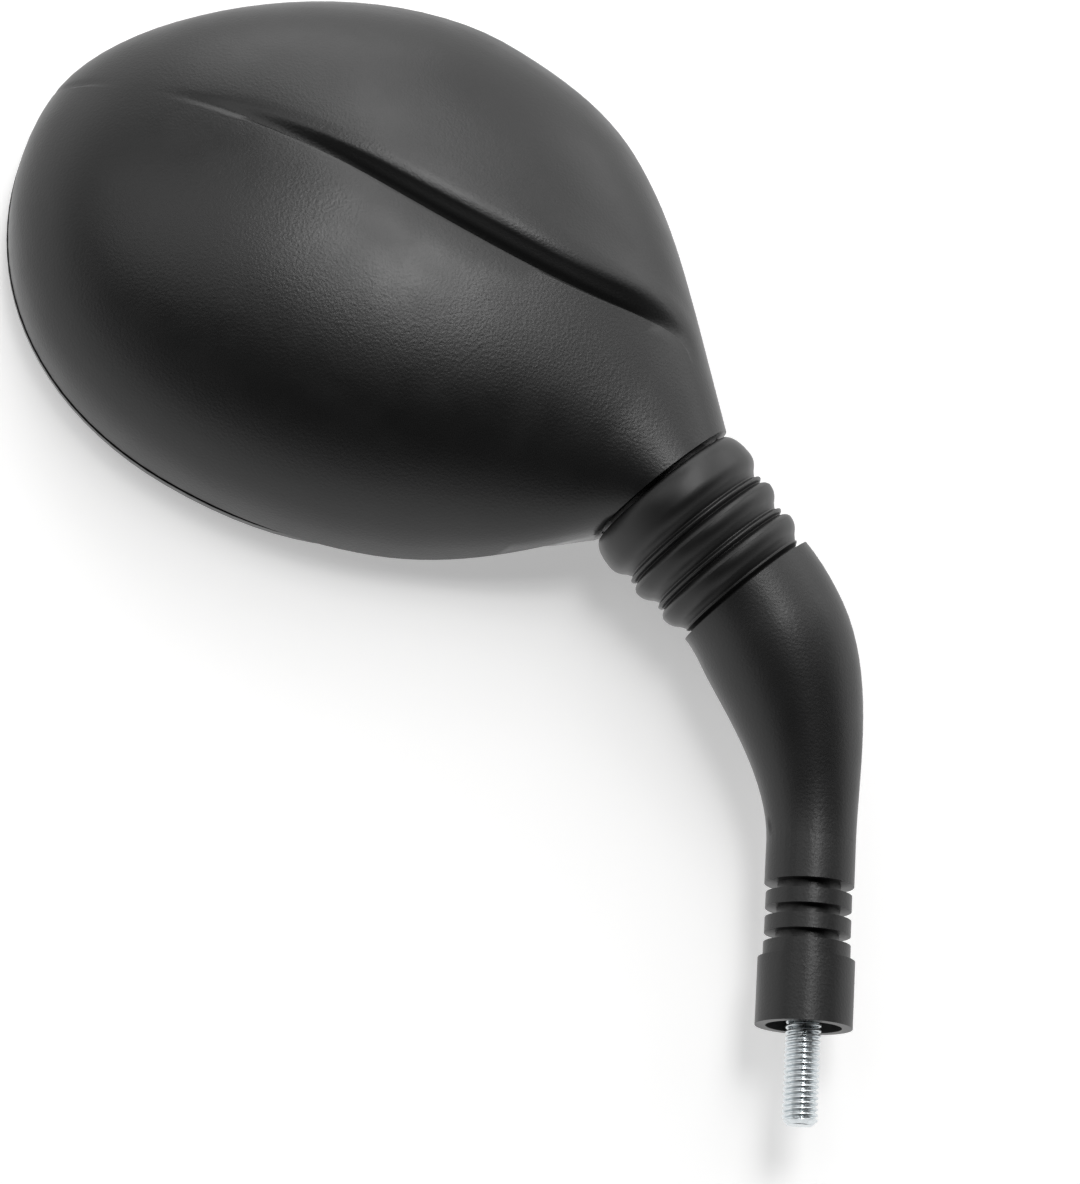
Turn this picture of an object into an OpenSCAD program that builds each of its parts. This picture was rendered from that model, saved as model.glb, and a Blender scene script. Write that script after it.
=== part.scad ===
// Motorcycle mirror, left side: egg shaped head on a ball joint, rubber boot, bent arm, M8 stud.
// Millimetres. Z points up along the stud, the glass faces +Y, the head reaches to -X.

/* [Stud] */
// radius of the M8 stud
stud_r = 4; // [3:0.5:5]
// length of stud below the collar
stud_l = 22; // [16:1:30]
// radius at which the threads of rod and nut meet
thread_r = 3.6; // [3.5:0.05:3.7]
// bevel at the tip of the stud
stud_bevel = 0.8; // [0.4:0.1:1.2]
// play of threads and turned fits, on the radius
fit = 0.05; // [0.02:0.01:0.08]

/* [Rod] */
// radius of the steel rod above the thread
rod_r = 5; // [4.5:0.25:5.5]
// radius of the rod's turned upper end
rod_seat_r = 4.75; // [4.25:0.05:4.8]
// bend radius of the rod, at its centre line
rod_bend_r = 40; // [36:1:44]

/* [Collar and fins] */
// radius of the collar
collar_r = 11; // [10.5:0.25:12]
// height of the collar
collar_h = 15.2; // [14:0.2:18]
// radius of the hollow that takes the nut
hollow_r = 8.6; // [8.6:0.1:9]
// distance of the nut above the rim of the collar
nut_recess = 3; // [1:0.5:3.5]
// nut size across its flats
nut_flats = 13; // [12:0.5:14]
// nut height
nut_h = 6.5; // [5:0.5:7]
// washer thickness
washer_t = 1.6; // [1:0.2:2]
// washer radius
washer_r = 8; // [7.6:0.1:8.2]
// height of the waist above the collar
waist_h = 3.5; // [2.5:0.5:5]
// radius of the waist and of the two fins
fin_r = 9.8; // [9.2:0.1:10.4]
// height of a fin
fin_h = 3.5; // [2.5:0.1:4]
// height of a slot between fins
slot_h = 2.2; // [1.5:0.1:3]
// radius at the foot of the slots
core_r = 7.2; // [6.8:0.1:7.6]
// number of fins
fins = 2; // [1:1:3]

/* [Arm] */
// radius of the arm above the fins
arm_foot_r = 10.2; // [9.6:0.1:11]
// radius of the arm at its mouth
arm_mouth_r = 18; // [17.5:0.25:19]
// straight length of the arm above the fins
arm_straight = 10; // [6:1:14]
// reach of the arm's upright start
arm_start = 20; // [14:1:24]
// reach of the arm's leaning end
arm_end = 16; // [10:1:18]
// sideways offset of the mouth from the stud
mouth_x = 18; // [17:0.5:19]
// height of the mouth above the rim of the collar
mouth_z = 100; // [98:0.5:102]
// lean of the neck from upright, in degrees
lean = 43.3; // [41:0.5:45]
// wall of the arm cover
arm_wall = 2.5; // [2:0.1:2.8]
// depth of the turned bore in the mouth
mouth_bore_l = 6.4; // [5:0.2:7]

/* [Boot] */
// length of boot that shows between arm and head
boot_l = 31.6; // [30:0.2:34]
// gap between the neck and the top band of the boot
boot_gap = 0.9; // [0.6:0.1:1.4]
// height of the wide top band
band_h = 10.4; // [9:0.2:12]
// radius of the lip of the top band
band_r = 21; // [20.4:0.1:21.4]
// height of the last valley above the mouth of the arm
boot_foot = 2.9; // [2.6:0.1:3.4]
// number of folds
folds = 3; // [2:1:4]
// loss of radius from one fold to the next
fold_taper = 1; // [0.6:0.1:1.3]
// depth of the valleys
valley = 2.7; // [2:0.1:3.2]
// play of the boot round the spigot of the neck
boot_fit = 0.3; // [0.2:0.05:0.5]
// wall of the boot
boot_wall = 1.6; // [1.2:0.1:2]
// wall of the boot's foot in the mouth
foot_wall = 2.2; // [1.8:0.1:2.6]

/* [Mouth bush] */
// thickness of the bush
bush_t = 2.6; // [2:0.2:3]
// wall of its spigot
bush_wall = 1.6; // [1.2:0.1:2]

/* [Ball joint] */
// radius of the ball
ball_r = 9.5; // [9:0.25:10]
// height of the ball centre inside the neck
ball_z = 12.5; // [12:0.25:13]
// wall of the nylon liner
liner_t = 1.5; // [1.2:0.1:1.7]
// gap between the two halves of the liner
liner_gap = 0.6; // [0.4:0.1:1]
// radius of the hole below the ball, for the rod to swing in
swing_r = 8.3; // [8.2:0.05:8.5]
// radius of the socket
socket_r = 17; // [16.8:0.1:17.2]
// thickness of the web that carries the socket
web_t = 3.2; // [2.5:0.1:4]
// length of the spigot that holds the boot
spigot_l = 4; // [3:0.25:5]
// wall of the spigot
spigot_wall = 1.8; // [1.4:0.1:2.2]
// gap between socket and clamp plate
clamp_gap = 0.9; // [0.6:0.1:1.2]
// thickness of the clamp plate at its screws
clamp_t = 3.1; // [2.5:0.1:3.5]
// height of the clamp plate over the ball
clamp_h = 7.6; // [7:0.1:8]
// radius of the circle of screws
screw_circle = 14.6; // [14.4:0.05:14.8]
// number of screws
screws = 3; // [3:1:4]
// screw radius
screw_r = 1.5; // [1.25:0.05:1.6]
// screw length under the head
screw_l = 12; // [9:0.5:13]
// radius of the screw heads
screw_head_r = 2.7; // [2.4:0.1:2.8]
// height of the screw heads
screw_head_h = 2.2; // [1.6:0.1:2.6]
// thickness of the flat washers
flat_t = 0.6; // [0.4:0.1:0.8]
// thickness of the spring washers
split_t = 1; // [0.8:0.1:1.2]
// radius of the pin through ball and rod
pin_r = 1.5; // [1:0.1:1.75]

/* [Head] */
// outer radius of the neck
neck_r = 20; // [19.8:0.1:21]
// rise of the head's long axis from level, in degrees
rise = 25; // [22:0.5:28]
// distance from the neck to the tip
head_l = 170; // [150:1:190]
// offset of the tip towards the upper edge
tip_off = 11; // [4:1:14]
// reach of the lower edge from the axis
low_w = 54.8; // [48:0.2:60]
// distance of its widest point from the neck
low_at = 99.5; // [90:0.5:104]
// reach of the upper edge from the axis
high_w = 81.5; // [74:0.5:88]
// distance of its widest point from the neck
high_at = 84; // [76:1:90]
// fullness of the tip towards the lower edge
tip_low = 35.5; // [28:0.5:40]
// fullness of the tip towards the upper edge
tip_high = 27; // [24:1:36]
// fullness of the lower edge
full_low = 44; // [44:1:56]
// fullness of the upper edge
full_high = 38; // [36:1:46]
// fullness of the lower edge towards the neck
neck_low = 50; // [42:1:52]
// fullness of the upper edge towards the neck
neck_high = 49.5; // [44:0.5:54]
// length of the flare from the neck into the lower edge
flare_low_l = 15; // [10:1:20]
// angle of that flare
flare_low_a = 42; // [36:1:48]
// length of the flare from the neck into the upper edge
flare_high_l = 57; // [45:1:60]
// angle of that flare
flare_high_a = 48; // [44:1:52]
// depth of the dome behind the neck's axis
dome = 26; // [23:0.5:30]
// height of the rim plane in front of the neck's axis
rim_y = 15; // [14:0.5:15.5]
// wall of the housing
wall = 2.6; // [2:0.1:2.8]
// fullness of the dome's section
dome_fill = 2.3; // [2:0.05:2.6]
// depth of the crease at its deepest
crease = 3.4; // [1:0.2:5]
// width of the slope above the crease, at the middle of the head
crease_w = 4.4; // [3:0.2:6]
// roundover at the edge below the crease
crease_lip = 0.4; // [0:0.05:0.6]
// height of the brow above the crease
brow = 1.1; // [0:0.1:1.5]
// depth of the notch where the crease meets the tip
notch = 0.8; // [0:0.1:1.2]

/* [Bezel and glass] */
// distance of the lower end of the bezel from the neck
end_s = 26; // [25:1:32]
// offset of that end towards the upper edge
end_off = 8; // [4:0.5:12]
// fullness of that end towards the lower edge
end_low = 33; // [26:1:34]
// fullness of that end towards the upper edge
end_high = 38; // [32:1:42]
// fullness of the bezel's lower edge towards that end
ring_low = 54; // [46:1:58]
// fullness of the bezel's upper edge towards that end
ring_high = 52; // [46:1:56]
// wall of the bezel
bezel_t = 1.8; // [1.5:0.1:2.2]
// overhang of the bezel past the housing
bezel_over = 0.3; // [0:0.1:0.6]
// taper of the bezel towards the glass
bezel_in = 1.2; // [0.4:0.1:1.4]
// thickness of the lip in front of the glass
lip_t = 1.2; // [0.8:0.1:1.6]
// width of the lip from the outline
lip_w = 4.2; // [3.4:0.1:5]
// width of the ledge behind the glass
ledge_w = 6.5; // [5:0.25:9]
// glass thickness
glass_t = 2; // [1.8:0.1:2.4]
// radius of curvature of the convex glass
glass_curve = 1260; // [1200:20:1600]
// least room between the glass and the lip, and between the glass and its plate
glass_play = 0.1; // [0.05:0.05:0.3]
// thickness of the plate behind the glass
carrier_t = 1.6; // [1.2:0.1:2]
// thickness of the rubber ring round the glass
seal_t = 0.5; // [0.3:0.1:0.8]

/* [Hidden] */
$fn = 72;
// steps along the head and round its section
head_steps = 54;
dome_steps = 32;
steps_below = 13;
slope_steps = 5;
front_steps = 8;
edge_steps = 26;
arm_steps = 22;
arm_sides = 44;
// share of the outline's steps between the tip and its widest points
widest = 0.45;
// width of the crease's wall and of its rounded edge, in degrees round the dome
crease_wall = 0.6;
hair = 0.01;
// places along the stud
nut_z = nut_recess;
washer_z = nut_z + nut_h;
hollow_h = washer_z + washer_t;
waist_z = collar_h;
fin_z = waist_z + waist_h;
arm_z = fin_z + fins * (slot_h + fin_h) + slot_h;
bend_z = arm_z + arm_straight;
nut_r = nut_flats / 2 / cos(30);
// neck frame: origin in the neck's edge, z along its axis into the head
up = [-sin(lean), cos(lean)];
neck = [-mouth_x, mouth_z] + boot_l * up;
mouth_d = -boot_l;
// the rod turns where the stud's axis meets the neck's
corner_z = mouth_z - mouth_x / tan(lean);
rod_tangent = rod_bend_r * tan(lean / 2);
seat_in = 3;
rod_top_l = mouth_x / sin(lean) + boot_l + ball_z + ball_r / 2 - rod_tangent;
// boot and what holds its ends
mouth_r = arm_mouth_r - arm_wall - 0.15;
foot_r = mouth_r - fit;
foot_in_r = foot_r - foot_wall;
bush_spigot_r = foot_in_r - fit;
bush_z = mouth_d - mouth_bore_l;
bush_top = bush_z + bush_t;
spigot_r = neck_r - wall - 3.2;
boot_top_in_r = spigot_r + boot_fit;
fold_pitch = (boot_l - boot_gap - band_h - boot_foot) / (folds - 1);
// ball joint
recess_r = ball_r + liner_t + 2 * fit;
socket_z = 0.3;
clamp_z = ball_z + clamp_gap;
flat_z = clamp_z + clamp_t;
split_z = flat_z + flat_t;
head_z = split_z + split_t;
// rim and glass along y
glass_in = bezel_t + seal_t + fit;

function smooth(x) = let (t = min(1, max(0, x))) t * t * (3 - 2 * t);
function bez(p, t) =
    pow(1 - t, 3) * p[0] + 3 * pow(1 - t, 2) * t * p[1]
    + 3 * (1 - t) * t * t * p[2] + pow(t, 3) * p[3];

// Outline of the head in its own frame: distance from the neck, offset to the lower edge.
tip = [head_l, -tip_off];
low = [low_at, low_w];
high = [high_at, -high_w];
corner = neck_r * [cos(lean + rise), sin(lean + rise)];
low_flare = flare_low_l * [cos(flare_low_a), sin(flare_low_a)];
high_flare = flare_high_l * [cos(flare_high_a), -sin(flare_high_a)];
low_tip_run = [tip, tip + [0, tip_low], low + [full_low, 0], low];
high_tip_run = [tip, tip - [0, tip_high], high + [full_high, 0], high];
low_neck_run = [low, low - [neck_low, 0], corner + low_flare, corner];
high_neck_run = [high, high - [neck_high, 0], high_flare - corner, -corner];
function side(runs, u) =
    u <= widest ? bez(runs[0], u / widest) : bez(runs[1], (u - widest) / (1 - widest));
function low_side(u) = side([low_tip_run, low_neck_run], u);
function high_side(u) = side([high_tip_run, high_neck_run], u);
function inward(p, q, d) = let (v = q - p) d * [v[1], -v[0]] / norm(v);
function low_in(u, d) =
    let (a = max(0, u - hair), b = min(1, u + hair))
    low_side(u) + inward(low_side(a), low_side(b), -d);
function high_in(u, d) =
    let (a = max(0, u - hair), b = min(1, u + hair))
    high_side(u) + inward(high_side(a), high_side(b), d);

// Section of the head at step u: widest line, back and front along y, corners of the crease.
function morph(u) = smooth((u - 0.66) / 0.34);
function mid_y(u) = rim_y * (1 - morph(u));
function front_y(u) = rim_y + (neck_r - rim_y) * smooth((u - 0.55) / 0.25);
function full_back(u) = -dome + (dome - neck_r) * smooth((u - 0.5) / 0.5);
function swell(u) = pow(sin(90 * min(1, u / 0.47)), 0.85);
function back_y(u) = mid_y(u) - (mid_y(u) - full_back(u)) * swell(u);
function crease_at(u) = 93.6 + 34.4 * pow(min(1, max(0, (u - 0.3) / 0.6)), 5);
function crease_share(u) = smooth((u - 0.22) / 0.36) * (1 - smooth((u - 0.76) / 0.17));
function notch_share(u) = smooth(u / 0.04) * (1 - smooth((u - 0.05) / 0.13));
// Width of the slope in degrees: it widens towards the neck, where the head is narrower.
function slope_at(u) =
    let (half = norm(low_side(u) - high_side(u)) / 2)
    crease_w * (0.5 + 0.9 * u) / (half * 1.2) * 180 / PI;
// Inward step at a degrees past the crease: a rounded edge, a steep wall, then a slope back out.
function fall(a, w) =
    a <= 0 ? 0 : smooth(a / crease_wall) * (1 - smooth((a - crease_wall) / w));
function lip(a) = a > 0 ? 0 : crease_lip * max(0, 1 + a / crease_wall);
// Soft brow beyond the slope.
function swelling(a, w) = smooth((a - w / 2) / w) * (1 - smooth((a - 1.6 * w) / 10));
function crease_step(u, a) =
    let (w = slope_at(u))
    crease_share(u) * (crease * fall(a, w) + lip(a) - brow * swelling(a, w))
    + notch * notch_share(u) * fall(a, w);
// Steps round the dome: one at each side of the edge and the wall, some over the slope, then on.
function dome_angle(u, j) =
    let (
        k = j - steps_below,
        c = crease_at(u),
        foot = c + crease_wall,
        w = slope_at(u),
        rest = dome_steps - steps_below - slope_steps - 1
    )
    k < 0 ? (c - crease_wall) * (1 - pow(1 - j / (steps_below - 1), 1.25))
        : k == 0 ? c
        : k <= slope_steps + 1 ? foot + w * (k - 1) / slope_steps
        : foot + w + (180 - foot - w) * pow((k - slope_steps - 1) / rest, 1.35);
function signed(x, p) = sign(x) * pow(abs(x), p);
function dome_point(u, j, t, ym, d) =
    let (
        a = dome_angle(u, j),
        n = dome_fill + (2 - dome_fill) * smooth((u - 0.55) / 0.45),
        c = signed(cos(a), 2 / n),
        s = pow(max(0, sin(a)), 2 / n),
        l = low_in(u, t),
        r = high_in(u, t),
        q = (l * (1 + c) + r * (1 - c)) / 2,
        y = ym - d * s,
        m = (l + r) / 2,
        deep = crease_step(u, a - crease_at(u)),
        to = [m[0], ym, m[1]] - [q[0], y, q[1]]
    ) [q[0], y, q[1]] + to * deep / max(1, norm(to));
function front_point(u, j, t, ym, e) =
    let (
        k = morph(u),
        f = j / front_steps,
        c = (1 - k) * (2 * f - 1) - k * cos(180 * f),
        n = 6 - 4 * k,
        l = low_in(u, t),
        r = high_in(u, t),
        q = (l * (1 + c) + r * (1 - c)) / 2
    ) [q[0], ym + e * pow(max(0, 1 - pow(abs(c), n)), 1 / n), q[1]];
// One closed section, t inside the outer skin.
function section(u, t) =
    let (
        f = t > 0 ? cavity_front(u) : front_y(u),
        ym = min(mid_y(u), f),
        d = ym - back_y(u) - t,
        e = f - ym
    ) concat(
        [for (j = [0 : dome_steps]) dome_point(u, j, t, ym, d)],
        [for (j = [1 : front_steps - 1]) front_point(u, j, t, ym, e)]
    );
function cavity_front(u) = rim_y - wall + (neck_r - rim_y) * smooth((u - 0.78) / 0.06);

// Skin over a list of rings, closed at both ends.
module skin(rings) {
    n = len(rings[0]);
    m = len(rings);
    polyhedron(
        points = [for (r = rings) each r],
        faces = concat(
            [[for (j = [n - 1 : -1 : 0]) j]],
            [for (i = [0 : m - 2], j = [0 : n - 1], k = [0, 1])
                let (a = i * n + j, b = i * n + (j + 1) % n)
                k == 0 ? [a, b, b + n] : [a, b + n, a + n]],
            [[for (j = [0 : n - 1]) (m - 1) * n + j]]
        ),
        convexity = 8
    );
}

// Closed outline of the bezel, d inside the rim.
end = [end_s, -end_off];
ring_runs = [
    low_tip_run,
    [low, low - [ring_low, 0], end + [0, end_low], end],
    [end, end - [0, end_high], high - [ring_high, 0], high],
    [high, high + [full_high, 0], tip - [0, tip_high], tip]
];
ring_base = [for (r = ring_runs, i = [0 : edge_steps - 1]) bez(r, i / edge_steps)];

// The glass is cut from a sphere over the ring's middle, clear of its plate and of the lip.
glass_mid = [for (p = ring_base) 1 / len(ring_base)] * ring_base;
glass_far = max([for (p = ring_base) norm(p - glass_mid)]) - glass_in;
glass_near = min([for (p = ring_base) norm(p - glass_mid)]) - lip_w;
function drop(x) = x * x / 2 / glass_curve;
glass_edge_y = rim_y + carrier_t + glass_play + glass_t;
glass_top_y = glass_edge_y + drop(glass_far);
bezel_y = glass_top_y - drop(glass_near) + glass_play + lip_t;
function ring_pts(d) =
    let (n = len(ring_base))
    [for (i = [0 : n - 1])
        ring_base[i] - inward(ring_base[(i + n - 1) % n], ring_base[(i + 1) % n], d)];

module at_head() {
    translate([neck[0], 0, neck[1]])
        rotate([0, 180 + rise, 0])
            children();
}

module at_neck(z = 0) {
    translate([neck[0], 0, neck[1]])
        rotate([0, -lean, 0])
            translate([0, 0, z])
                children();
}

// Plate of the bezel's outline in the head's frame, from y0 to y1.
module plate(d, y0, y1) {
    translate([0, y1, 0])
        rotate([90, 0, 0])
            linear_extrude(y1 - y0)
                polygon(ring_pts(d));
}

module tube(r, r_in, h) {
    difference() {
        cylinder(r = r, h = h);
        translate([0, 0, -1])
            cylinder(r = r_in, h = h + 2);
    }
}

module at_screws(z) {
    for (i = [0 : screws - 1])
        rotate([0, 0, i * 360 / screws])
            translate([screw_circle, 0, z])
                children();
}

module housing() {
    color([0.09, 0.09, 0.095])
    difference() {
        union() {
            difference() {
                at_head()
                    difference() {
                        skin([for (i = [0 : head_steps]) section(max(0.012, i / head_steps), 0)]);
                        skin([for (i = [0 : 30]) section(0.07 + 0.93 * i / 30, wall)]);
                        plate(-bezel_over - 0.25, rim_y, rim_y + neck_r);
                        plate(ledge_w, 0, rim_y + 1);
                    }
                at_neck(-2)
                    cylinder(r = neck_r - wall, h = 2.2 + socket_z);
            }
            at_neck(socket_z)
                cylinder(r = neck_r - 1.2, h = web_t);
            at_neck(socket_z)
                cylinder(r = socket_r, h = ball_z - socket_z - liner_gap / 2);
            at_neck(-spigot_l)
                cylinder(r = spigot_r, h = spigot_l + socket_z + 1);
        }
        at_neck(ball_z)
            sphere(r = recess_r);
        at_neck(-spigot_l - 1)
            cylinder(r = spigot_r - spigot_wall, h = spigot_l + 1 + socket_z);
        at_neck(-1)
            cylinder(r = swing_r, h = ball_z);
        at_neck()
            at_screws(head_z - screw_l - 0.5)
                cylinder(r = screw_r + fit, h = screw_l, $fn = 24);
    }
}

module bezel() {
    color([0.11, 0.11, 0.115])
    at_head()
        difference() {
            union() {
                plate(0.4, rim_y, rim_y + 1);
                plate(-bezel_over, rim_y + 0.6, rim_y + 2.2);
                plate(bezel_in / 3, rim_y + 2, bezel_y - 0.8);
                plate(bezel_in, bezel_y - 1, bezel_y);
            }
            plate(bezel_t, rim_y - 1, bezel_y - lip_t);
            plate(lip_w, rim_y, bezel_y + 1);
        }
}

// Round body under a curved face: its top is at y on the glass's centre line.
function bulge(x, y, r) = y - r + sqrt(r * r - x * x);
lens_steps = 12;
lens_r = glass_far + bezel_t;
module under_curve(y, r) {
    translate([glass_mid[0], 0, glass_mid[1]])
        rotate([-90, 0, 0])
            rotate_extrude()
                polygon(concat(
                    [[0, 0], [lens_r, 0]],
                    [for (i = [lens_steps : -1 : 0])
                        let (x = lens_r * i / lens_steps)
                        [x, bulge(x, y, r)]]
                ));
}

module mirror_glass() {
    color([0.75, 0.78, 0.8])
    at_head()
        difference() {
            intersection() {
                plate(glass_in, rim_y, glass_top_y + 1);
                under_curve(glass_top_y, glass_curve);
            }
            under_curve(glass_top_y - glass_t, glass_curve - glass_t);
        }
}

module glass_pad() {
    color([0.2, 0.2, 0.21])
    at_head()
        intersection() {
            plate(glass_in + 1, rim_y + carrier_t, glass_top_y);
            under_curve(glass_top_y - glass_t - fit, glass_curve - glass_t);
        }
}

module glass_seal() {
    color([0.06, 0.06, 0.06])
    at_head()
        difference() {
            plate(bezel_t + fit / 2, rim_y + carrier_t, glass_edge_y - 0.3);
            plate(bezel_t + seal_t, rim_y, bezel_y);
        }
}

module glass_carrier() {
    color([0.16, 0.16, 0.17])
    at_head()
        plate(bezel_t + fit, rim_y, rim_y + carrier_t);
}

module liner_half(flip) {
    difference() {
        sphere(r = ball_r + fit + liner_t);
        sphere(r = ball_r + fit);
        mirror([0, 0, flip])
            translate([0, 0, -liner_gap / 2])
                cylinder(r = 2 * ball_r, h = 2 * ball_r);
        translate([0, 0, -2 * ball_r])
            cylinder(r = swing_r, h = 4 * ball_r);
    }
}

module liner_lower() {
    color([0.9, 0.9, 0.86])
    at_neck(ball_z)
        liner_half(0);
}

module liner_upper() {
    color([0.86, 0.88, 0.82])
    at_neck(ball_z)
        liner_half(1);
}

module ball() {
    color([0.72, 0.72, 0.7])
    at_neck(ball_z)
        difference() {
            sphere(r = ball_r);
            translate([0, 0, -2 * ball_r])
                cylinder(r = rod_seat_r + fit / 2, h = 2.5 * ball_r);
            rotate([90, 0, 0])
                cylinder(r = pin_r + fit / 2, h = 3 * ball_r, center = true, $fn = 24);
        }
}

module ball_pin() {
    color([0.6, 0.6, 0.62])
    at_neck(ball_z)
        rotate([90, 0, 0])
            cylinder(r = pin_r, h = 1.8 * ball_r, center = true, $fn = 24);
}

module clamp_plate() {
    color([0.55, 0.56, 0.58])
    at_neck()
        difference() {
            union() {
                translate([0, 0, clamp_z])
                    cylinder(r = socket_r - 0.2, h = clamp_t);
                translate([0, 0, clamp_z])
                    cylinder(r = screw_circle - screw_head_r - 0.4, h = clamp_h);
            }
            translate([0, 0, ball_z])
                sphere(r = recess_r);
            at_screws(clamp_z - 1)
                cylinder(r = screw_r + 0.3, h = clamp_t + 2, $fn = 24);
        }
}

module clamp_washers() {
    color([0.7, 0.7, 0.66])
    at_neck()
        at_screws(flat_z)
            tube(screw_head_r, screw_r + fit, flat_t, $fn = 24);
}

module clamp_springs() {
    color([0.5, 0.5, 0.52])
    at_neck()
        at_screws(split_z)
            difference() {
                tube(screw_head_r - 0.2, screw_r + fit, split_t, $fn = 24);
                translate([0, -0.4, -1])
                    cube([screw_head_r, 0.8, split_t + 2]);
            }
}

module clamp_screws() {
    color([0.68, 0.69, 0.7])
    at_neck()
        at_screws(head_z)
            difference() {
                union() {
                    translate([0, 0, -screw_l])
                        cylinder(r = screw_r, h = screw_l + 0.5, $fn = 24);
                    cylinder(r = screw_head_r, h = screw_head_h, $fn = 24);
                }
                for (a = [0, 90])
                    rotate([0, 0, a])
                        translate([-screw_r, -0.3, screw_head_h / 2])
                            cube([2 * screw_r, 0.6, screw_head_h]);
            }
}

// Outer and inner line of the boot, from its top down. Each fold is a soft band over a sharp valley.
function fold_r(i) = band_r - i * fold_taper;
function fold_z(i) = -boot_gap - band_h - i * fold_pitch;
function valley_line(i) =
    let (r = fold_r(i), z = fold_z(i), v = r - valley, p = fold_pitch)
    [
        [r - 0.05, z + 0.36 * p], [r - 0.35, z + 0.24 * p], [r - 1, z + 0.12 * p],
        [r - 2, z + 0.01 * p], [v + 0.2, z - 0.08 * p], [v, z - 0.14 * p],
        [v + 0.5, z - 0.18 * p], [v + 0.8, z - 0.23 * p], [v + 0.6, z - 0.29 * p],
        [v, z - 0.33 * p]
    ];
function next_band(i) =
    let (r = fold_r(i), z = fold_z(i - 1), p = fold_pitch)
    [[r - 1.2, z - 0.38 * p], [r - 0.5, z - 0.43 * p], [r - 0.1, z - 0.51 * p], [r, z - 0.58 * p]];
boot_outer = concat(
    [
        [boot_top_in_r, -boot_gap], [band_r - 2.2, -boot_gap],
        [band_r - 1.3, -boot_gap - 0.7], [band_r - 0.5, -boot_gap - 2.2],
        [band_r - 0.1, -boot_gap - 0.4 * band_h]
    ],
    valley_line(0),
    [for (i = [1 : folds - 1]) each concat(
        next_band(i), i < folds - 1 ? valley_line(i) : [for (k = [0 : 5]) valley_line(i)[k]]
    )],
    [[foot_r, mouth_d + 0.3], [foot_r, bush_top + 0.1]]
);
boot_inner = concat(
    [[foot_in_r, bush_top + 0.1], [foot_in_r, mouth_d + 1.2]],
    [for (i = [folds - 1 : -1 : 0]) each [
        [fold_r(i) - valley - boot_wall, fold_z(i) - 0.19 * fold_pitch],
        [fold_r(i) - valley - boot_wall, fold_z(i) - 0.06 * fold_pitch],
        [fold_r(i) - boot_wall - 0.1, fold_z(i) + 0.14 * fold_pitch],
        [fold_r(i) - boot_wall - 0.3, i == 0 ? -spigot_l - 3 : fold_z(i) + 0.35 * fold_pitch]
    ]],
    [[boot_top_in_r, -spigot_l - 1]]
);

module boot() {
    color([0.07, 0.07, 0.075])
    at_neck()
        rotate_extrude()
            polygon(concat(boot_outer, boot_inner));
}

// Centre line and radius of the bent part of the arm.
arm_line = [
    [0, bend_z], [0, bend_z + arm_start],
    [-mouth_x, mouth_z] - arm_end * up, [-mouth_x, mouth_z]
];
function arm_r(t) = arm_foot_r + (arm_mouth_r - arm_foot_r) * smooth(1.28 * t);
function arm_ring(t, r) =
    let (
        p = bez(arm_line, t),
        v = bez(arm_line, min(1, t + hair)) - bez(arm_line, max(0, t - hair)),
        n = [v[1], -v[0]] / norm(v)
    ) [for (i = [0 : arm_sides - 1])
        let (a = -360 * i / arm_sides)
        [p[0] + r * cos(a) * n[0], r * sin(a), p[1] + r * cos(a) * n[1]]];
cavity_from = 0.14;
cavity_to = 0.9;

module arm_cover() {
    color([0.1, 0.1, 0.105])
    difference() {
        union() {
            skin([for (i = [0 : arm_steps]) arm_ring(i / arm_steps, arm_r(i / arm_steps))]);
            translate([0, 0, arm_z])
                cylinder(r = arm_foot_r, h = arm_straight);
            cylinder(r = core_r, h = arm_z + 1);
            for (i = [0 : fins - 1])
                translate([0, 0, fin_z + slot_h + i * (fin_h + slot_h)])
                    cylinder(r = fin_r, h = fin_h);
            translate([0, 0, waist_z - 1])
                cylinder(r = fin_r + 0.1, h = waist_h + 1);
            cylinder(r = collar_r, h = collar_h);
        }
        skin([for (i = [0 : 14])
            let (t = cavity_from + (cavity_to - cavity_from) * i / 14)
            arm_ring(t, arm_r(t) - arm_wall - 0.4)]);
        at_neck(bush_z)
            cylinder(r = mouth_r, h = mouth_bore_l + 10);
        translate([0, 0, -1])
            cylinder(r = rod_r + fit, h = bend_z + 10);
        translate([0, 0, -1])
            cylinder(r = hollow_r, h = hollow_h + 1);
    }
}

module mouth_bush() {
    color([0.3, 0.3, 0.31])
    at_neck(bush_z)
        difference() {
            union() {
                cylinder(r = mouth_r - fit, h = bush_t);
                cylinder(r = bush_spigot_r, h = mouth_bore_l - 0.8);
            }
            translate([0, 0, bush_t])
                cylinder(r = bush_spigot_r - bush_wall, h = mouth_bore_l);
            translate([0, 0, -1])
                cylinder(r = rod_seat_r + fit, h = mouth_bore_l);
        }
}

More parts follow.
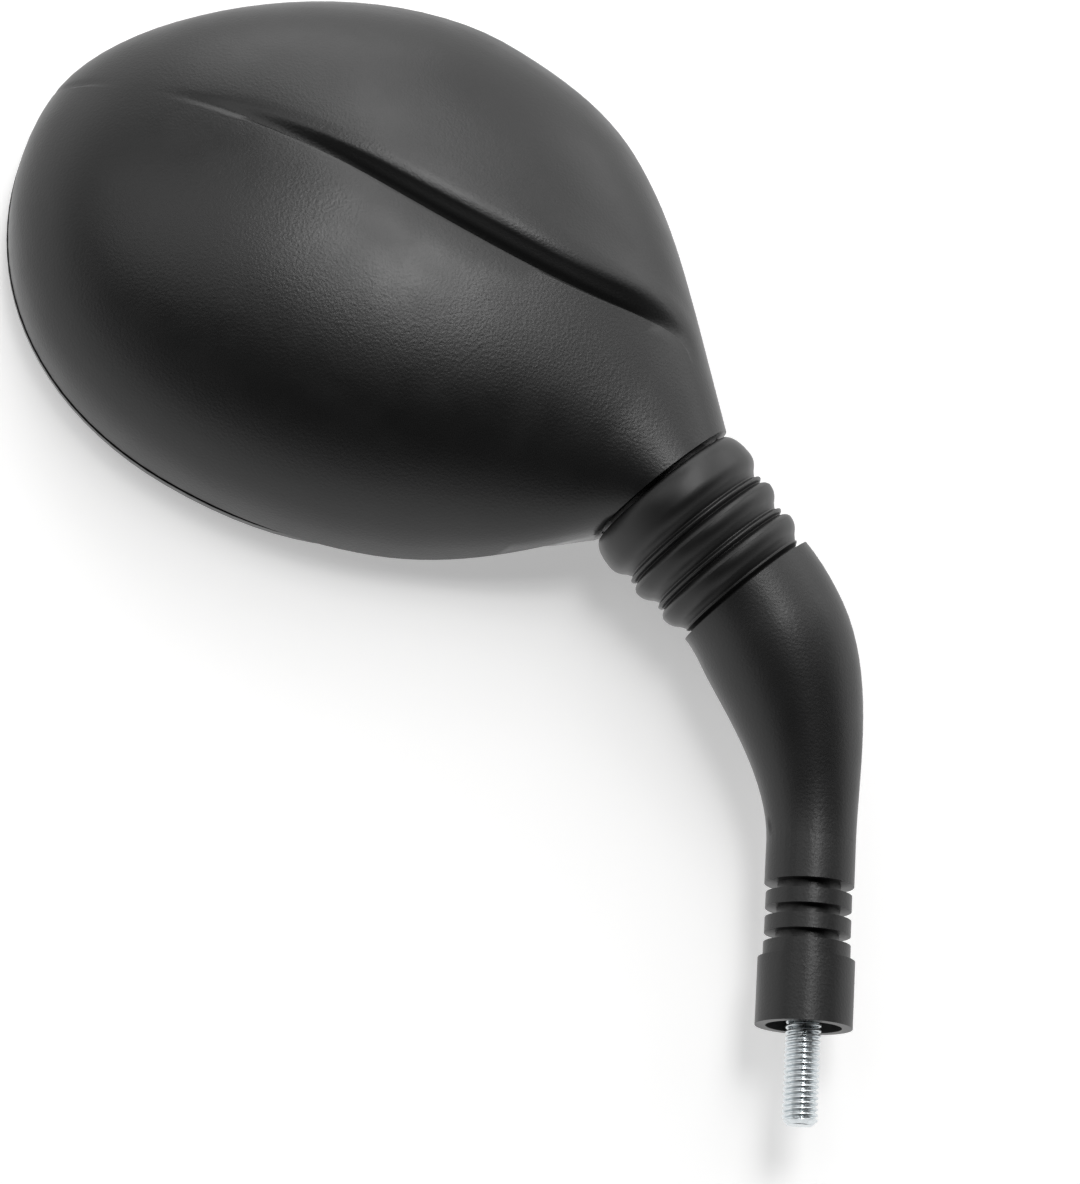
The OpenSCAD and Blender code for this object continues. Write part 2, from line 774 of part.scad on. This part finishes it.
module rod() {
    color([0.78, 0.79, 0.8])
    difference() {
        union() {
            translate([0, 0, -stud_l])
                cylinder(r1 = stud_r - stud_bevel, r2 = stud_r, h = stud_bevel);
            translate([0, 0, stud_bevel - stud_l])
                cylinder(r = stud_r, h = stud_l - stud_bevel);
            cylinder(r = thread_r - fit, h = hollow_h);
            translate([0, 0, hollow_h])
                cylinder(r = rod_r, h = corner_z - rod_tangent - hollow_h);
            translate([-rod_bend_r, 0, corner_z - rod_tangent]) {
                rotate([90, 0, 0])
                    rotate_extrude(angle = lean)
                        translate([rod_bend_r, 0])
                            circle(r = rod_r);
                rotate([0, -lean, 0])
                    translate([rod_bend_r, 0, -seat_in])
                        cylinder(r = rod_seat_r, h = rod_top_l + seat_in);
            }
        }
        at_neck(ball_z)
            rotate([90, 0, 0])
                cylinder(r = pin_r + fit / 2, h = 3 * rod_r, center = true, $fn = 24);
    }
}

module lock_nut() {
    color([0.74, 0.75, 0.72])
    translate([0, 0, nut_z])
        difference() {
            intersection() {
                cylinder(r = nut_r, h = nut_h, $fn = 6);
                cylinder(r = nut_r - 0.35, h = nut_h);
            }
            translate([0, 0, -1])
                cylinder(r = thread_r, h = nut_h + 2);
        }
}

module nut_washer() {
    color([0.7, 0.71, 0.68])
    translate([0, 0, washer_z])
        tube(washer_r, stud_r + 0.3, washer_t);
}

housing();
bezel();
mirror_glass();
glass_pad();
glass_seal();
glass_carrier();
liner_lower();
liner_upper();
ball();
ball_pin();
clamp_plate();
clamp_screws();
clamp_springs();
clamp_washers();
boot();
arm_cover();
mouth_bush();
rod();
lock_nut();
nut_washer();
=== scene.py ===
"""Looks of the motorcycle mirror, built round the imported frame.

Metres, Z up along the stud. The glass faces +Y, and the photo looks at the back of the head.
"""

import math

import bmesh
import bpy
from mathutils import Matrix, Vector


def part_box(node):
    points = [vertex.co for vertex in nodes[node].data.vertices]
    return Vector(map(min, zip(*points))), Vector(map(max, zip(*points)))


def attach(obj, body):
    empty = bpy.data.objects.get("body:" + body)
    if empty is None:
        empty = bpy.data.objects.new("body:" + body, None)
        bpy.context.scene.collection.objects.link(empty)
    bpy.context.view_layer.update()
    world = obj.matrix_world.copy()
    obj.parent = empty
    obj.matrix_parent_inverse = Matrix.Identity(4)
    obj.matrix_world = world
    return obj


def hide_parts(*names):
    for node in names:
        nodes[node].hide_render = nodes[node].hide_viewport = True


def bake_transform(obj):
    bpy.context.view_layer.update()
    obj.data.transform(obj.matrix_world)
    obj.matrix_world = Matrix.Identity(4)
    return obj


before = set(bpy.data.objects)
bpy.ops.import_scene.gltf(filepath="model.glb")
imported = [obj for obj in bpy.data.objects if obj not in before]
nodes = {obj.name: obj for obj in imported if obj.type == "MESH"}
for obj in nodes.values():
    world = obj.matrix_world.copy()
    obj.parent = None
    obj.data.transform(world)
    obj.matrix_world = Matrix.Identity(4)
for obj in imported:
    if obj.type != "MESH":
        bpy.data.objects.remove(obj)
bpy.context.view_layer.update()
scene = bpy.context.scene
scene.view_settings.view_transform = "Standard"

MM = 0.001

# The neck's edge is a boot's length from the mouth of the arm, along the leaning axis.
LEAN = math.radians(43.3)
MOUTH = Vector((-0.018, 0, 0.1))
BOOT_L = 31.6 * MM
UP = Vector((-math.sin(LEAN), 0, math.cos(LEAN)))
NECK = MOUTH + BOOT_L * UP
NECK_FRAME = Matrix.Translation(NECK) @ Matrix.Rotation(-LEAN, 4, "Y")

# Points nearer than this are one point, and edges that bend less than this are shaded round.
WELD = 0.002 * MM
ROUND_BELOW = math.radians(32)


def add_object(name, data):
    obj = bpy.data.objects.new(name, data)
    scene.collection.objects.link(obj)
    return obj


def dress(obj, mat):
    obj.data.materials.clear()
    obj.data.materials.append(mat)


# Camera
CAMERA_PLACE = Vector((-0.179, -0.700, -0.115))
CAMERA_TARGET = Vector((-0.06617, 0, 0.09415))
CAMERA_ROLL = math.radians(3.8)
FOCAL_PX = 3227.9
PHOTO_HEIGHT_PX = 1184
SENSOR_WIDTH = 36


def make_camera():
    """Matched to the photo: it looks slightly up at the back of the head. Returns its axes."""
    ahead = (CAMERA_TARGET - CAMERA_PLACE).normalized()
    level = ahead.cross(Vector((0, 0, 1))).normalized()
    over = level.cross(ahead)
    right = level * math.cos(CAMERA_ROLL) + over * math.sin(CAMERA_ROLL)
    top = over * math.cos(CAMERA_ROLL) - level * math.sin(CAMERA_ROLL)
    data = bpy.data.cameras.new("camera")
    data.sensor_width = SENSOR_WIDTH
    data.lens = FOCAL_PX / PHOTO_HEIGHT_PX * SENSOR_WIDTH
    data.clip_start, data.clip_end = 0.05, 20
    cam = add_object("camera", data)
    axes = Matrix((right, top, -ahead)).transposed().to_4x4()
    cam.matrix_world = Matrix.Translation(CAMERA_PLACE) @ axes
    scene.camera = cam
    return right, top, ahead


RIGHT, TOP, AHEAD = make_camera()


# Node helpers
class Tree:
    """Short way to write the nodes of a tree."""

    def __init__(self, tree):
        self.tree = tree

    def add(self, kind, inputs=None, **props):
        node = self.tree.nodes.new(kind)
        for key, value in props.items():
            setattr(node, key, value)
        for key, value in (inputs or {}).items():
            self.put(node, key, value)
        return node

    def put(self, node, key, value):
        """Links a socket to the node's input, or sets a value there."""
        if isinstance(value, bpy.types.NodeSocket):
            self.tree.links.new(value, node.inputs[key])
        else:
            node.inputs[key].default_value = value

    def span(self, value, low, high, to_low, to_high, ease="LINEAR"):
        return self.add(
            "ShaderNodeMapRange",
            {0: value, 1: low, 2: high, 3: to_low, 4: to_high},
            interpolation_type=ease,
        ).outputs[0]

    def combine(self, operation, a, b):
        return self.add("ShaderNodeMath", {0: a, 1: b}, operation=operation).outputs[0]


class Nodes(Tree):
    """A new material. Noise scales are in cells to the metre, and bump distances in metres."""

    INPUTS = {
        "color": "Base Color",
        "rough": "Roughness",
        "metal": "Metallic",
        "normal": "Normal",
        "specular": "Specular IOR Level",
        "coat": "Coat Weight",
        "coat_rough": "Coat Roughness",
    }

    def __init__(self, name):
        self.mat = bpy.data.materials.new(name)
        self.mat.use_nodes = True
        super().__init__(self.mat.node_tree)
        self.shader = self.tree.nodes["Principled BSDF"]
        self.out = self.tree.nodes["Material Output"]
        self.place = self.add("ShaderNodeTexCoord").outputs["Object"]

    def noise(self, scale, detail=2.0, rough=0.5, stretch=None):
        where = self.place
        if stretch:
            where = self.add("ShaderNodeMapping", {"Vector": where, "Scale": stretch}).outputs[0]
        return self.add(
            "ShaderNodeTexNoise",
            {"Vector": where, "Scale": scale, "Detail": detail, "Roughness": rough},
        ).outputs["Fac"]

    def cells(self, scale):
        return self.add(
            "ShaderNodeTexVoronoi", {"Vector": self.place, "Scale": scale}
        ).outputs["Distance"]

    def blend(self, fac, a, b):
        return self.add("ShaderNodeMix", {0: fac, 6: a, 7: b}, data_type="RGBA").outputs[2]

    def bump(self, height, strength, distance, normal=None):
        inputs = {"Height": height, "Strength": strength, "Distance": distance}
        if normal is not None:
            inputs["Normal"] = normal
        return self.add("ShaderNodeBump", inputs).outputs[0]

    def set(self, **values):
        for key, value in values.items():
            self.put(self.shader, self.INPUTS[key], value)
        return self.mat


def grey(v, warm=0.0):
    return (v * (1 + warm), v, v * (1 - warm), 1)


# Materials
FINE_GRAIN = 0.02 * MM
MOULD_GRAIN = 0.06 * MM
FOAM_GRAIN = 0.3 * MM


def moulded(name, tone, rough):
    """Black moulded plastic: fine eroded grain, faint flow marks and handling sheen."""
    n = Nodes(name)
    flow = n.noise(28, detail=3)
    color = n.blend(flow, grey(tone * 0.85), grey(tone * 1.15, warm=-0.02))
    roughness = n.span(n.noise(90, detail=3), 0.3, 0.7, rough - 0.03, rough + 0.03)
    pits = n.bump(n.cells(1330), 0.35, MOULD_GRAIN)
    grain = n.bump(n.noise(1900, rough=0.6), 0.5, MOULD_GRAIN, normal=pits)
    return n.set(color=color, rough=roughness, normal=grain)


def rubber(name, tone, rough):
    """Smooth moulded rubber, with faint clouds in its tone and its shine."""
    n = Nodes(name)
    color = n.blend(n.noise(60, detail=3), grey(tone * 0.8), grey(tone * 1.2))
    roughness = n.span(n.noise(160), 0.3, 0.7, rough - 0.04, rough + 0.04)
    return n.set(color=color, rough=roughness, normal=n.bump(n.noise(3200), 0.3, FINE_GRAIN))


def zinc(name):
    """Bright zinc plate, faintly blue, with crystals and fine scratches."""
    n = Nodes(name)
    bright, mottle = (0.74, 0.78, 0.80), 0.12
    dark = [c * (1 - mottle) for c in bright]
    spots = n.noise(900, detail=3, rough=0.6)
    scratches = n.noise(500, stretch=(1, 1, 0.05))
    color = n.blend(n.span(spots, 0.35, 0.65, 0, 1), (*dark, 1), (*bright, 1))
    roughness = n.span(scratches, 0.3, 0.7, 0.22, 0.4)
    return n.set(color=color, rough=roughness, metal=1.0, normal=n.bump(spots, 0.15, FINE_GRAIN))


def nylon(name):
    """Natural nylon, off white with faint clouds."""
    n = Nodes(name)
    color = n.blend(n.noise(200), (0.74, 0.73, 0.68, 1), (0.82, 0.81, 0.77, 1))
    return n.set(color=color, rough=0.42, normal=n.bump(n.noise(1500), 0.2, FINE_GRAIN))


def foam(name):
    """Dark foam with open cells, each painted darker towards its hollow middle: painted shade."""
    n = Nodes(name)
    cells = n.cells(1400)
    # Painted shade: the same distance that makes each cell's middle a pit in the bump paints it
    # darker.
    color = n.blend(cells, grey(0.03), grey(0.09))
    return n.set(color=color, rough=0.95, normal=n.bump(cells, 0.8, FOAM_GRAIN))


def silvered(name):
    """Chromed glass, less bright than silver: sharp reflection, a breath of blue, wipe marks."""
    n = Nodes(name)
    wipe = n.noise(35, detail=4, rough=0.6, stretch=(1, 1, 2.2))
    color = n.blend(wipe, (0.57, 0.60, 0.61, 1), (0.61, 0.64, 0.65, 1))
    roughness = n.span(wipe, 0.4, 0.75, 0.012, 0.05)
    return n.set(color=color, rough=roughness, metal=1.0, coat=1.0, coat_rough=0.01)


def oiled(name):
    """Oiled spring steel, dark and mottled."""
    n = Nodes(name)
    color = n.blend(n.noise(700, detail=3), grey(0.16), grey(0.28))
    grain = n.bump(n.noise(1600), 0.2, FINE_GRAIN)
    return n.set(color=color, rough=0.38, metal=1.0, normal=grain)


housing_mat = moulded("housing_plastic", tone=0.006, rough=0.36)
arm_mat = moulded("arm_plastic", tone=0.007, rough=0.40)
inner_mat = moulded("hidden_plastic", tone=0.03, rough=0.55)
boot_mat = rubber("boot_rubber", tone=0.007, rough=0.40)
seal_mat = rubber("seal_rubber", tone=0.012, rough=0.6)
zinc_mat = zinc("zinc_steel")
nylon_mat = nylon("nylon")
spring_mat = oiled("spring_steel")
LOOKS = {
    "housing": housing_mat,
    "bezel": housing_mat,
    "mirror_glass": silvered("mirror"),
    "glass_pad": foam("foam"),
    "glass_seal": seal_mat,
    "glass_carrier": inner_mat,
    "liner_lower": nylon_mat,
    "liner_upper": nylon_mat,
    "ball": zinc_mat,
    "ball_pin": spring_mat,
    "clamp_plate": zinc_mat,
    "clamp_screws": zinc_mat,
    "clamp_springs": spring_mat,
    "clamp_washers": zinc_mat,
    "arm_cover": arm_mat,
    "mouth_bush": inner_mat,
    "rod": zinc_mat,
    "lock_nut": zinc_mat,
    "nut_washer": zinc_mat,
    "boot": boot_mat,
}


# Round shading
def smoothing():
    """Modifier tree: joins doubled points and shades round what bends gently."""
    tree = bpy.data.node_groups.new("shade_round", "GeometryNodeTree")
    for way in ("INPUT", "OUTPUT"):
        tree.interface.new_socket("Geometry", in_out=way, socket_type="NodeSocketGeometry")
    n = Tree(tree)
    start = n.add("NodeGroupInput").outputs[0]
    whole = n.add("GeometryNodeMergeByDistance", {"Geometry": start, "Distance": WELD}).outputs[0]
    faces = n.add("GeometryNodeSetShadeSmooth", {"Geometry": whole}).outputs[0]
    bend = n.add("GeometryNodeInputMeshEdgeAngle").outputs["Unsigned Angle"]
    gentle = n.add(
        "FunctionNodeCompare", {"A": bend, "B": ROUND_BELOW}, operation="LESS_THAN"
    ).outputs["Result"]
    edges = n.add(
        "GeometryNodeSetShadeSmooth", {"Geometry": faces, "Shade Smooth": gentle}, domain="EDGE"
    ).outputs[0]
    n.add("NodeGroupOutput", {0: edges})
    return tree


ROUND = smoothing()


def shade_round(obj):
    obj.modifiers.new("shade_round", "NODES").node_group = ROUND


for name, obj in nodes.items():
    dress(obj, LOOKS[name])
    shade_round(obj)


# Boot
def rounded(points, cut=0.25, times=2):
    """Cuts the corners of an open line, so that it runs in soft curves."""
    for _ in range(times):
        soft = [points[0]]
        for a, b in zip(points, points[1:]):
            step = (Vector(b) - Vector(a)) * cut
            soft += [Vector(a) + step, Vector(b) - step]
        points = soft + [points[-1]]
    return points


def revolve(name, line, matrix, mat, sides=144):
    """Turns a closed line of (radius, height) about the matrix's own z."""
    verts, faces = [], []
    points = len(line)
    for side in range(sides):
        turn = 2 * math.pi * side / sides
        for r, z in line:
            verts.append(matrix @ Vector((r * math.cos(turn), r * math.sin(turn), z)))
        here, there = side * points, ((side + 1) % sides) * points
        for i in range(points):
            j = (i + 1) % points
            faces.append((here + i, there + i, there + j, here + j))
    mesh = bpy.data.meshes.new(name)
    mesh.from_pydata(verts, [], faces)
    mesh.polygons.foreach_set("use_smooth", [True] * len(mesh.polygons))
    obj = add_object(name, mesh)
    dress(obj, mat)
    return obj


# The boot's measures, as in the part's source. Heights count from the neck's edge.
BOOT_GAP, BOOT_WALL = 0.9 * MM, 1.6 * MM
BAND_R, BAND_H = 21 * MM, 10.4 * MM
BAND_IN_R, BAND_IN_Z = 14.5 * MM, -5 * MM
FOLDS, FOLD_TAPER, VALLEY = 3, 1 * MM, 2.7 * MM
LAST_VALLEY_H = 2.9 * MM
FOLD = (BOOT_L - BOOT_GAP - BAND_H - LAST_VALLEY_H) / (FOLDS - 1)
FOOT_R, FOOT_IN_R, FOOT_Z = 15.3 * MM, 13.1 * MM, -35.2 * MM
FOOT_STEP, FOOT_IN_STEP = 0.6 * MM, 1.2 * MM

# The lip of the band, as (mm inside the band's radius, mm below its top).
BAND_LIP = [(2.2, 0), (1.3, 0.7), (0.5, 2.2), (0.1, 4.16)]

# A fold's outline from its crown down, as (mm past a radius, share of the pitch above its foot).
# The lower and upper slopes count from a crown's radius. The dark slit below a fold, and the
# thin ridge and the crack under that, count from the valley's.
LOWER_SLOPE = [(0, 0.48), (-0.05, 0.36), (-0.35, 0.24), (-1.0, 0.12), (-2.0, 0.01)]
SLIT = [(0.2, -0.08), (-0.1, -0.13), (0.3, -0.17)]
RIDGE_AND_CRACK = [(0.9, -0.2), (1.0, -0.25), (0.6, -0.3), (-0.1, -0.33), (0, -0.35)]
UPPER_SLOPE = [(-1.5, -0.37), (-0.6, -0.42), (-0.15, -0.49), (0, -0.56)]

# The same for the inside, from the valley up to the crown. The band's inside goes up further.
INNER_VALLEY = [(0, -0.19), (0, -0.06)]
INNER_CROWN = [(-0.1, 0.14), (-0.3, 0.35)]
INNER_BAND = [(-0.1, 0.14), (-0.3, 0.5)]


def fold_line(shape, radius, foot):
    return [(radius + past * MM, foot + share * FOLD) for past, share in shape]


def crown_radius(i):
    return BAND_R - i * FOLD_TAPER


def foot_height(i):
    return -BOOT_GAP - BAND_H - i * FOLD


def fold_outside(i):
    """Fold i from its crown to the slit, and on to the next fold's crown where there is one."""
    crown, foot = crown_radius(i), foot_height(i)
    line = fold_line(LOWER_SLOPE, crown, foot) + fold_line(SLIT, crown - VALLEY, foot)
    if i + 1 < FOLDS:
        line += fold_line(RIDGE_AND_CRACK, crown - VALLEY, foot)
        line += fold_line(UPPER_SLOPE, crown_radius(i + 1), foot)
    return line


def fold_inside(i):
    """Fold i from its valley up to its crown. Fold 0 is the band."""
    crown, foot = crown_radius(i) - BOOT_WALL, foot_height(i)
    top = INNER_CROWN if i else INNER_BAND
    return fold_line(INNER_VALLEY, crown - VALLEY, foot) + fold_line(top, crown, foot)


def make_boot():
    """The bellows: a band under the neck and folds that get smaller towards the arm."""
    outer = [(BAND_IN_R, -BOOT_GAP)]
    outer += [(BAND_R - inside * MM, -BOOT_GAP - below * MM) for inside, below in BAND_LIP]
    for i in range(FOLDS):
        outer += fold_outside(i)
    outer += [(FOOT_R, -BOOT_L + FOOT_STEP), (FOOT_R, -BOOT_L), (FOOT_R, FOOT_Z)]
    inner = [(FOOT_IN_R, FOOT_Z), (FOOT_IN_R, -BOOT_L + FOOT_IN_STEP)]
    for i in reversed(range(FOLDS)):
        inner += fold_inside(i)
    inner += [(BAND_IN_R, BAND_IN_Z)]
    return revolve("boot_skin", rounded(outer) + rounded(inner), NECK_FRAME, boot_mat)


boot = make_boot()
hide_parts("boot")
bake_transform(boot)


# Rod with its thread
STUD_R, STUD_L = 4 * MM, 22 * MM
THREAD_TOP, ROD_FROM = 2.5 * MM, 2.2 * MM
PITCH, THREAD_DEPTH = 1.25 * MM, 0.62 * MM
FLANK_SLOPE, ROOT_SHARE = 2.3, 0.5
TIP_R, TIP_Z = 2.85 * MM, -STUD_L + 0.15 * MM
BEVEL_DEPTH, BEVEL_H = 1.1 * MM, 0.9 * MM
THREAD_SIDES, THREAD_STEPS = 48, 10
THREAD_WELD, SLIVER = 0.001 * MM, 0.0001 * MM


def clamp(value):
    return min(1.0, max(0.0, value))


def round_point(radius, side, height):
    turn = 2 * math.pi * side / THREAD_SIDES
    return (radius * math.cos(turn), radius * math.sin(turn), height)


def thread_point(row, side):
    """Rows follow the thread's profile up the stud, and a turn of sides climbs by one pitch."""
    height = -STUD_L - PITCH + PITCH * (row / THREAD_STEPS + side / THREAD_SIDES)
    share = (row % THREAD_STEPS) / THREAD_STEPS
    crest = clamp(FLANK_SLOPE * abs(2 * share - 1) - ROOT_SHARE)
    bevel = clamp((height - TIP_Z) / BEVEL_H)
    radius = STUD_R - max(THREAD_DEPTH * (1 - crest), BEVEL_DEPTH * (1 - bevel))
    return round_point(radius, side, min(max(height, TIP_Z), THREAD_TOP))


def add_thread(made):
    """Adds the thread's helix to a bmesh and returns its lowest row."""
    turns = int((STUD_L + THREAD_TOP) / PITCH) + 2
    rows = [
        [made.verts.new(thread_point(row, side)) for side in range(THREAD_SIDES)]
        for row in range(turns * THREAD_STEPS + 1)
    ]

    def beside(row, side):
        """The next point round. After a whole turn the helix goes on one pitch higher."""
        return rows[row][side + 1] if side + 1 < THREAD_SIDES else rows[row + THREAD_STEPS][0]

    for k in range(len(rows) - 1):
        goes_on = k + 1 + THREAD_STEPS < len(rows)
        for i in range(THREAD_SIDES if goes_on else THREAD_SIDES - 1):
            made.faces.new((rows[k][i], beside(k, i), beside(k + 1, i), rows[k + 1][i]))
    return rows[0]


def add_tip(made, lowest):
    """Closes the thread's lowest row with the flat end of the stud."""
    tip = made.verts.new((0, 0, -STUD_L))
    ring = [made.verts.new(round_point(TIP_R, side, -STUD_L)) for side in range(THREAD_SIDES)]
    for i in range(THREAD_SIDES):
        j = (i + 1) % THREAD_SIDES
        made.faces.new((ring[j], ring[i], tip))
        made.faces.new((ring[i], ring[j], lowest[j], lowest[i]))


def make_rod():
    """The CAD rod above the collar's rim, with a cut thread on the stud."""
    made = bmesh.new()
    made.from_mesh(nodes["rod"].data)
    bmesh.ops.remove_doubles(made, verts=made.verts, dist=WELD)
    cut = bmesh.ops.bisect_plane(
        made,
        geom=made.verts[:] + made.edges[:] + made.faces[:],
        plane_co=(0, 0, ROD_FROM),
        plane_no=(0, 0, 1),
        clear_inner=True,
    )
    rim = [e for e in cut["geom_cut"] if isinstance(e, bmesh.types.BMEdge)]
    bmesh.ops.contextual_create(made, geom=rim)
    lowest = add_thread(made)
    add_tip(made, lowest)
    bmesh.ops.remove_doubles(made, verts=made.verts, dist=THREAD_WELD)
    bmesh.ops.dissolve_degenerate(made, edges=made.edges, dist=SLIVER)
    bmesh.ops.recalc_face_normals(made, faces=made.faces)
    mesh = bpy.data.meshes.new("rod_threaded")
    made.to_mesh(mesh)
    made.free()
    obj = add_object("rod_threaded", mesh)
    dress(obj, zinc_mat)
    shade_round(obj)
    return obj


rod = make_rod()
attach(rod, "arm")
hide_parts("rod")


# Stage and light
GROUND_REACH, GROUND_GAP = 3.0, 0.4 * MM
GROUND_TONE, GROUND_GLOW = 0.86, 0.37


def make_ground():
    """Pale sheet that the mirror lies on, glass down. Only the camera sees it, from its front."""
    high = max(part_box(n)[1].y for n in nodes) + GROUND_GAP
    low, far = -GROUND_REACH, GROUND_REACH
    corners = [(low, high, low), (far, high, low), (far, high, far), (low, high, far)]
    mesh = bpy.data.meshes.new("ground")
    mesh.from_pydata(corners, [], [(0, 1, 2, 3)])
    ground = add_object("ground", mesh)
    n = Nodes("ground")
    n.set(color=grey(GROUND_TONE, warm=0.004), rough=1.0, specular=0.0)
    glow = n.add("ShaderNodeEmission", {"Color": grey(1), "Strength": GROUND_GLOW}).outputs[0]
    lit = n.add("ShaderNodeAddShader", {0: n.shader.outputs[0], 1: glow}).outputs[0]
    clear = n.add("ShaderNodeBsdfTransparent").outputs[0]
    from_back = n.add("ShaderNodeNewGeometry").outputs["Backfacing"]
    seen = n.add("ShaderNodeMixShader", {0: from_back, 1: lit, 2: clear}).outputs[0]
    n.put(n.out, "Surface", seen)
    dress(ground, n.mat)
    ground.visible_diffuse = ground.visible_glossy = False
    ground.visible_transmission = ground.visible_shadow = False


def make_world():
    """White for the camera, and for reflections and refractions where it is on the glass side.

    Everywhere else it is dim: darkest on the camera's side, and darker below than above.
    """
    world = bpy.data.worlds.new("world")
    scene.world = world
    world.use_nodes = True
    world.node_tree.nodes.clear()
    n = Tree(world.node_tree)
    way = n.add("ShaderNodeTexCoord").outputs["Generated"]
    parts = n.add("ShaderNodeSeparateXYZ", {0: way}).outputs
    side = n.span(parts["Y"], -0.75, 0.0, 0.0, 1.6, ease="SMOOTHSTEP")
    height = n.span(parts["Z"], -0.5, 0.6, 0.7, 1.0, ease="SMOOTHSTEP")
    behind = n.span(parts["Y"], -0.2, 0.3, 0.0, 1.0, ease="SMOOTHSTEP")
    strength = n.combine("MULTIPLY", side, height)
    dim = n.add("ShaderNodeBackground", {"Color": grey(0.8), "Strength": strength}).outputs[0]
    plain = n.add("ShaderNodeBackground", {"Color": grey(1), "Strength": 1.0}).outputs[0]
    rays = n.add("ShaderNodeLightPath").outputs
    bent = n.combine("MAXIMUM", rays["Is Glossy Ray"], rays["Is Transmission Ray"])
    white = n.combine("MAXIMUM", rays["Is Camera Ray"], n.combine("MULTIPLY", bent, behind))
    seen = n.add("ShaderNodeMixShader", {0: white, 1: dim, 2: plain}).outputs[0]
    n.add("ShaderNodeOutputWorld", {"Surface": seen})


LAMP_CENTRE, LAMP_DISTANCE = Vector((-0.08, 0, 0.1)), 1.6

# A lamp's name, its way from the object as (right, up, towards the camera), size and watts.
LAMPS = [
    ("front", (0.22, 0.5, 0.85), 0.4, 4.5),
    ("front_right", (0.3, 0.65, 0.75), 0.5, 4.5),
    ("front_left", (-0.4, 0.6, 0.8), 1.0, 4),
    ("over", (0.3, 1.0, 0.5), 0.6, 4),
    ("key", (0.8, 0.65, 0.6), 0.8, 2.5),
    ("right", (1.0, 1.0, 0.1), 0.9, 3.5),
    ("behind", (0.0, 1.4, 0.15), 0.9, 4.5),
]


def make_lamp(name, aim, size, power):
    data = bpy.data.lights.new(name, "AREA")
    data.size = size
    data.energy = power
    lamp = add_object(name, data)
    way = (RIGHT * aim[0] + TOP * aim[1] - AHEAD * aim[2]).normalized()
    lamp.location = LAMP_CENTRE + way * LAMP_DISTANCE
    lamp.rotation_mode = "QUATERNION"
    lamp.rotation_quaternion = way.to_track_quat("Z", "Y")


make_ground()
make_world()
for lamp in LAMPS:
    make_lamp(*lamp)
